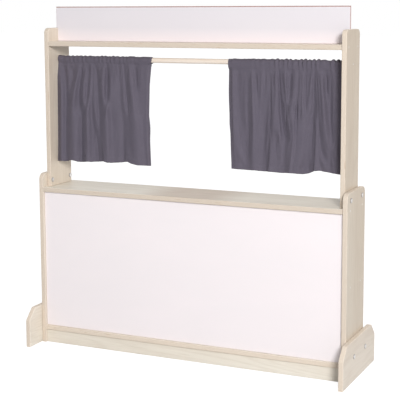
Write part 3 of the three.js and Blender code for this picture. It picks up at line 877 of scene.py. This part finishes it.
def front_normals(grid):
    """The unit normal at each point of the panel, on its front."""
    normal = np.cross(np.gradient(grid, axis=1), np.gradient(grid, axis=0))
    normal /= np.linalg.norm(normal, axis=-1, keepdims=True)
    return normal * np.sign(-normal[:, :, 1:2])


def edge_distance(grid):
    """How far each point of each row is from the nearer side edge, along the cloth, in mm."""
    from_first = np.array([running_length(row) for row in grid])
    return np.minimum(from_first, from_first[:, -1:] - from_first)


def hem_swelling(grid, hem_row):
    """How far the front stands out where the hems double the cloth, drawn in where they are stitched."""
    rows = np.arange(PANEL_ROWS)[:, None, None] - hem_row
    from_edge = edge_distance(grid)[:, :, None]
    swelling = HEM_SWELL * soft_step((rows + 0.5) / 1.5) - HEM_DRAW * np.exp(-(rows / 0.8) ** 2)
    swelling = swelling + SIDE_SWELL * soft_step((SIDE_HEM + 1 - from_edge) / 2)
    return swelling - SIDE_DRAW * np.exp(-((from_edge - SIDE_HEM) / 2) ** 2)


def pocket_path(seam_height):
    """The pocket's section: from the seam at the back up over the rod and down the front to the seam."""
    sides = []
    for foot_y, turn in ((-SEAM_FORWARD, -1), (-SEAM_FORWARD + LAYER_GAP, 1)):
        foot = np.array([foot_y, seam_height - ROD_HEIGHT])
        distance = float(np.hypot(*foot))
        angle = math.atan2(foot[1], foot[0]) + turn * math.acos(POCKET_RADIUS / distance)
        touch = POCKET_RADIUS * np.array([math.cos(angle), math.sin(angle)])
        sides.append(([foot + (touch - foot) * part for part in (0.3, 0.6)], angle))
    (front, front_angle), (back, back_angle) = sides
    arc = np.linspace(back_angle, front_angle + 2 * math.pi, ARC_STEPS)
    return back + [POCKET_RADIUS * np.array([math.cos(a), math.sin(a)]) for a in arc] + front[::-1]


def pocket_waves(name, ruffles, first_row):
    """A function for how far the pocket stands out along the rod: ruffles and the folds below."""
    low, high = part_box(name)
    order = np.argsort(first_row[:, 0])
    places, forward = first_row[order, 0], -(first_row[order, 1] + SEAM_FORWARD)

    def waves(x):
        share = (x * MM - low.x) / (high.x - low.x)
        small = along(ruffles, share) * ruffle(share * (high.x - low.x) / MM)
        return np.clip(np.interp(x, places, forward) * WAVE_SHARE + small, *WAVE_LIMITS)

    return waves


def pocket_rings(seam, seam_height, waves, overhang):
    """The rod pocket as lines of points along the rod, one for each point of its section."""
    path = pocket_path(seam_height)
    rings = []
    for index, (y, z) in enumerate(path):
        out = np.array([y, z]) / math.hypot(y, z)
        from_seam = min(index, len(path) - 1 - index)
        loose = (0.25, 0.6)[from_seam] if from_seam < 2 else 1.0
        wave = waves(seam[:, 0] + (index - len(path)) * WAVE_SLANT)
        rings.append(np.stack([
            seam[:, 0] + overhang * soft_step((from_seam + 1) / 4),
            y + out[0] * wave * loose,
            ROD_HEIGHT + z + out[1] * wave * loose,
        ], -1))
    return np.array(rings)


def sheet_rows(name, shape, panel, normal, hem_row):
    """The whole sheet: raw edge inside the seam, pocket, panel, and the hem turned up behind it."""
    low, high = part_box(name)
    seam = panel[0]
    shares = (seam[:, 0] * MM - low.x) / (high.x - low.x)
    overhang = shape["overhang"] * soft_step((shares - 0.85) / 0.15)
    waves = pocket_waves(name, shape["ruffles"], panel[1])
    pocket = pocket_rings(seam, shape["seam_height"], waves, overhang)
    raw_edge = np.stack([seam + [0, LAYER_GAP + behind, above] for behind, above in RAW_EDGE])
    turned_up = (panel - normal * LAYER_GAP)[hem_row:PANEL_ROWS - 1][::-1]
    return np.concatenate([raw_edge, pocket, panel, turned_up])


def stitch(spine, sideways, lift):
    """One stitch: a thread that comes up out of the cloth, arches over it and goes down again."""
    angles = [2 * math.pi * turn / THREAD_SIDES for turn in range(THREAD_SIDES)]
    outward = [math.cos(angle) * sideways + math.sin(angle) * lift for angle in angles]
    points, rings = [], []
    for middle, (_, _, share) in zip(spine, STITCH_ARCH):
        rings.append(list(range(len(points), len(points) + THREAD_SIDES)))
        points += [middle + THREAD / 2 * share * out for out in outward]
    faces = []
    for near, far in zip(rings, rings[1:]):
        faces += zip(near, near[1:] + near[:1], far[1:] + far[:1], far)
    faces += [tuple(rings[0][::-1]), tuple(rings[-1])]
    return points, faces


def sew(cloth, path, normal, points, faces):
    """A line of stitches on the cloth along a path; normal is the side that they lie on."""
    length = running_length(path)
    for start in np.arange(STITCH_STEP, length[-1] - STITCH_STEP, STITCH_STEP):
        lift = at_length(normal, length, start + STITCH / 2)
        lift /= np.linalg.norm(lift)
        spine = []
        for part, rise, _ in STITCH_ARCH:
            above = at_length(path, length, start + part * STITCH) + lift * ABOVE_CLOTH
            found, hit, _, _ = cloth.ray_cast(Vector(above * MM), Vector(-lift), distance=PROBE_LENGTH * MM)
            if found:
                spine.append(np.array(hit) / MM + lift * rise)
        if len(spine) < len(STITCH_ARCH):
            continue
        run = (spine[-1] - spine[0]) / np.linalg.norm(spine[-1] - spine[0])
        more_points, more_faces = stitch(spine, np.cross(run, lift), lift)
        faces += [tuple(corner + len(points) for corner in face) for face in more_faces]
        points += more_points


def stitching(name, cloth, panel, normal, hem_row):
    """The thread that holds the pocket, the hem and the two side hems."""
    bpy.context.view_layer.update()
    points, faces = [], []
    sew(cloth, panel[0], normal[0], points, faces)
    sew(cloth, panel[hem_row], normal[hem_row], points, faces)
    sew(cloth, panel[hem_row], -normal[hem_row], points, faces)
    from_edge = edge_distance(panel)
    middle = COLUMNS // 2
    for half in (slice(0, middle), slice(COLUMNS - 1, middle, -1)):
        line, lift = [
            np.array([at_length(*row, SIDE_HEM) for row in zip(values[2:-1, half], from_edge[2:-1, half])])
            for values in (panel, normal)
        ]
        sew(cloth, line, lift, points, faces)
    mesh = bpy.data.meshes.new(name + "_stitching")
    mesh.from_pydata([tuple(point * MM) for point in points], [], faces)
    mesh.shade_smooth()
    mesh.materials.append(THREAD_COLOUR)
    return placed(name + "_stitching", mesh)


def mark_threads(mesh, width, down):
    """Places along and down the cloth in metres, which the material's weave follows."""
    layer = mesh.uv_layers.new(name="threads")
    places = np.stack(np.meshgrid(np.linspace(0, width, COLUMNS), down), -1).reshape(-1, 2)
    corners = np.zeros(len(mesh.loops), np.int32)
    mesh.loops.foreach_get("vertex_index", corners)
    layer.data.foreach_set("uv", places[corners].astype(np.float32).ravel())


def thicken(piece):
    """Rounds the sheet and gives it the cloth's thickness, with both modifiers applied."""
    rounding = piece.modifiers.new("subsurf", "SUBSURF")
    rounding.levels = rounding.render_levels = 1
    body = piece.modifiers.new("solidify", "SOLIDIFY")
    body.thickness = CLOTH_THICKNESS * MM
    body.offset = 0.0
    body.use_even_offset = False
    mesh = bpy.data.meshes.new_from_object(evaluated(piece))
    piece.modifiers.clear()
    piece.data = mesh
    mesh.shade_smooth()
    mesh.materials.clear()
    mesh.materials.append(CLOTH)


def curtain(name, shape, side):
    """The sewn curtain as one sheet, its thread, and the size that the sheet was cut to."""
    grid = hanging_panel(name, shape, side)
    grid = settled(name + "_panel", grid, side < 0)
    normal = front_normals(grid)
    row_length = np.linalg.norm(grid[-1, 0] - grid[-2, 0])
    hem_row = PANEL_ROWS - 1 - int(round(HEM_DEPTH / row_length))
    panel = grid + normal * hem_swelling(grid, hem_row)
    sheet = sheet_rows(name, shape, panel, normal, hem_row)
    mesh = grid_mesh(name + "_cloth", sheet, side < 0)
    piece = placed(name + "_cloth", mesh)
    down = np.mean([running_length(column) for column in sheet.swapaxes(0, 1)], axis=0) * MM
    width = np.mean([running_length(row)[-1] for row in panel]) * MM
    mark_threads(mesh, width, down)
    thicken(piece)
    thread = stitching(name, piece, panel, normal, hem_row)
    return piece, thread, (width, float(down[-1]))


def dress_curtain(name, shape, side):
    """The curtain's cloth and thread in the place of the CAD's curtain, which is hidden."""
    cloth, thread, size = curtain(name, shape, side)
    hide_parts(name)
    for piece in (cloth, thread):
        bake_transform(piece)


# Cloth and thread
WEAVE_PITCH = 0.9


def cloth_surface():
    """Plain woven cotton: threads over and under in two directions, with thicker slubs and a soft bloom."""
    material, tree, shader = new_material("curtain_weave")
    threads = node(tree, "UVMap", None, uv_map="threads").outputs[0]
    parts = node(tree, "SeparateXYZ", {0: threads})
    turns = 2 * math.pi / (WEAVE_PITCH * MM)
    warp, weft = [arithmetic(tree, "SINE", times(tree, parts.outputs[axis], turns)) for axis in (0, 1)]
    weave = arithmetic(tree, "MULTIPLY_ADD", times(tree, warp, weft), 0.5, 0.5)
    slubs = arithmetic(tree, "ADD", *[
        noise(tree, stretched(tree, threads, factors), scale=1, detail=2)
        for factors in ((900, 30, 1), (30, 900, 1))
    ])
    bloom = noise(tree, threads, scale=14, detail=4)
    share = arithmetic(tree, "MULTIPLY_ADD", weave, 0.35, times(tree, slubs, 0.28))
    share = arithmetic(tree, "MULTIPLY_ADD", bloom, 0.25, share, clamp=True)
    colour = mixed(tree, share, srgb(109, 103, 115), srgb(84, 79, 91))
    height = arithmetic(tree, "MULTIPLY_ADD", slubs, 0.5, weave)
    finish_surface(tree, shader, colour, 0.86, height, 0.35, 0.0003, {
        "Specular IOR Level": 0.25,
        "Sheen Weight": 0.06, "Sheen Roughness": 0.5, "Sheen Tint": (0.82, 0.78, 0.88, 1),
    })
    return material


def thread_surface():
    """Sewing thread in the cloth's colour, a little shinier, with its twist."""
    material, tree, shader = new_material("sewing_thread")
    place = node(tree, "TexCoord").outputs["Object"]
    twist = node(tree, "TexWave", {"Vector": place, "Scale": 900.0, "Distortion": 1.5, "Detail": 1.0},
                 bands_direction="DIAGONAL").outputs[1]
    colour = mixed(tree, twist, srgb(112, 106, 119), srgb(88, 83, 96))
    roughness = arithmetic(tree, "MULTIPLY_ADD", twist, 0.15, 0.5)
    finish_surface(tree, shader, colour, roughness, twist, 0.4, 0.0002)
    return material


CLOTH = cloth_surface()
THREAD_COLOUR = thread_surface()
STEEL = steel_surface()


# Floor and light
FLOOR_REACH = 40
FLOOR_LIT = (0.55, 0.55, 0.55, 1)
FLOOR_SEEN = (0.30, 0.30, 0.30, 1)
FLOOR_GLOW = 0.88
ROOM_LIGHT = 0.34
WALL_LIGHT = 0.85
TOWARD_WALL = (0.7, 0.7, 0)
LAMP_AZIMUTH = math.radians(34.5)
LAMP_ELEVATION = math.radians(19)
LAMP_DISTANCE = 7.0
LAMP_SIZE = 1.35
LAMP_POWER = 362
LIT_MIDDLE = Vector((0, 0, 0.7))


def seen_directly(tree):
    """1 where the camera, a mirror or glass looks, and 0 for the light that falls on the object."""
    path = node(tree, "LightPath").outputs
    mirrored = arithmetic(tree, "MAXIMUM", path["Is Glossy Ray"], path["Is Transmission Ray"])
    return arithmetic(tree, "MAXIMUM", path["Is Camera Ray"], mirrored)


def make_stage():
    """A white floor that keeps the object's shadow."""
    material, tree, shader = new_material("floor_white")
    tree.nodes.remove(shader)
    lit = node(tree, "BsdfDiffuse", {"Color": FLOOR_LIT}).outputs[0]
    paper = node(tree, "AddShader", {
        0: node(tree, "BsdfDiffuse", {"Color": FLOOR_SEEN}).outputs[0],
        1: node(tree, "Emission", {"Color": WHITE, "Strength": FLOOR_GLOW}).outputs[0],
    }).outputs[0]
    both = node(tree, "MixShader", {0: seen_directly(tree), 1: lit, 2: paper}).outputs[0]
    connect(tree, tree.nodes["Material Output"].inputs["Surface"], both)
    mesh = bpy.data.meshes.new("floor")
    corners = [(x * FLOOR_REACH, y * FLOOR_REACH, 0) for x, y in ((-1, -1), (1, -1), (1, 1), (-1, 1))]
    mesh.from_pydata(corners, [], [(0, 1, 2, 3)])
    mesh.materials.append(material)
    placed("floor", mesh)


def make_world():
    """White where it is seen, and brighter behind the object than in front of it where it lights."""
    world = bpy.data.worlds.new("studio")
    bpy.context.scene.world = world
    world.use_nodes = True
    tree = world.node_tree
    direction = node(tree, "TexCoord").outputs["Generated"]
    toward = node(tree, "VectorMath", {0: direction, 1: TOWARD_WALL}, operation="DOT_PRODUCT")
    strength = node(tree, "MapRange", {
        "Value": toward.outputs["Value"], "From Min": -1.0, "From Max": 1.0,
        "To Min": ROOM_LIGHT, "To Max": WALL_LIGHT,
    }).outputs[0]
    ambient = node(tree, "Background", {"Color": WHITE, "Strength": strength}).outputs[0]
    paper = node(tree, "Background", {"Color": WHITE, "Strength": 1.0}).outputs[0]
    both = node(tree, "MixShader", {0: seen_directly(tree), 1: ambient, 2: paper}).outputs[0]
    connect(tree, tree.nodes["World Output"].inputs["Surface"], both)


def make_lamp():
    """One soft lamp to the right of the camera."""
    source = Vector((
        math.sin(LAMP_AZIMUTH) * math.cos(LAMP_ELEVATION),
        -math.cos(LAMP_AZIMUTH) * math.cos(LAMP_ELEVATION),
        math.sin(LAMP_ELEVATION),
    ))
    lamp = bpy.data.lights.new("softbox", "AREA")
    lamp.shape = "SQUARE"
    lamp.size = LAMP_SIZE
    lamp.energy = LAMP_POWER
    piece = placed("softbox", lamp)
    piece.location = LIT_MIDDLE + source * LAMP_DISTANCE
    piece.rotation_euler = source.to_track_quat("Z", "Y").to_euler()


make_camera()
make_stage()
make_world()
make_lamp()
dress_frame()
dress_fasteners()
dress_curtain("left_curtain", LEFT_SHAPE, -1)
dress_curtain("right_curtain", RIGHT_SHAPE, 1)
bpy.context.scene.view_settings.view_transform = "Standard"
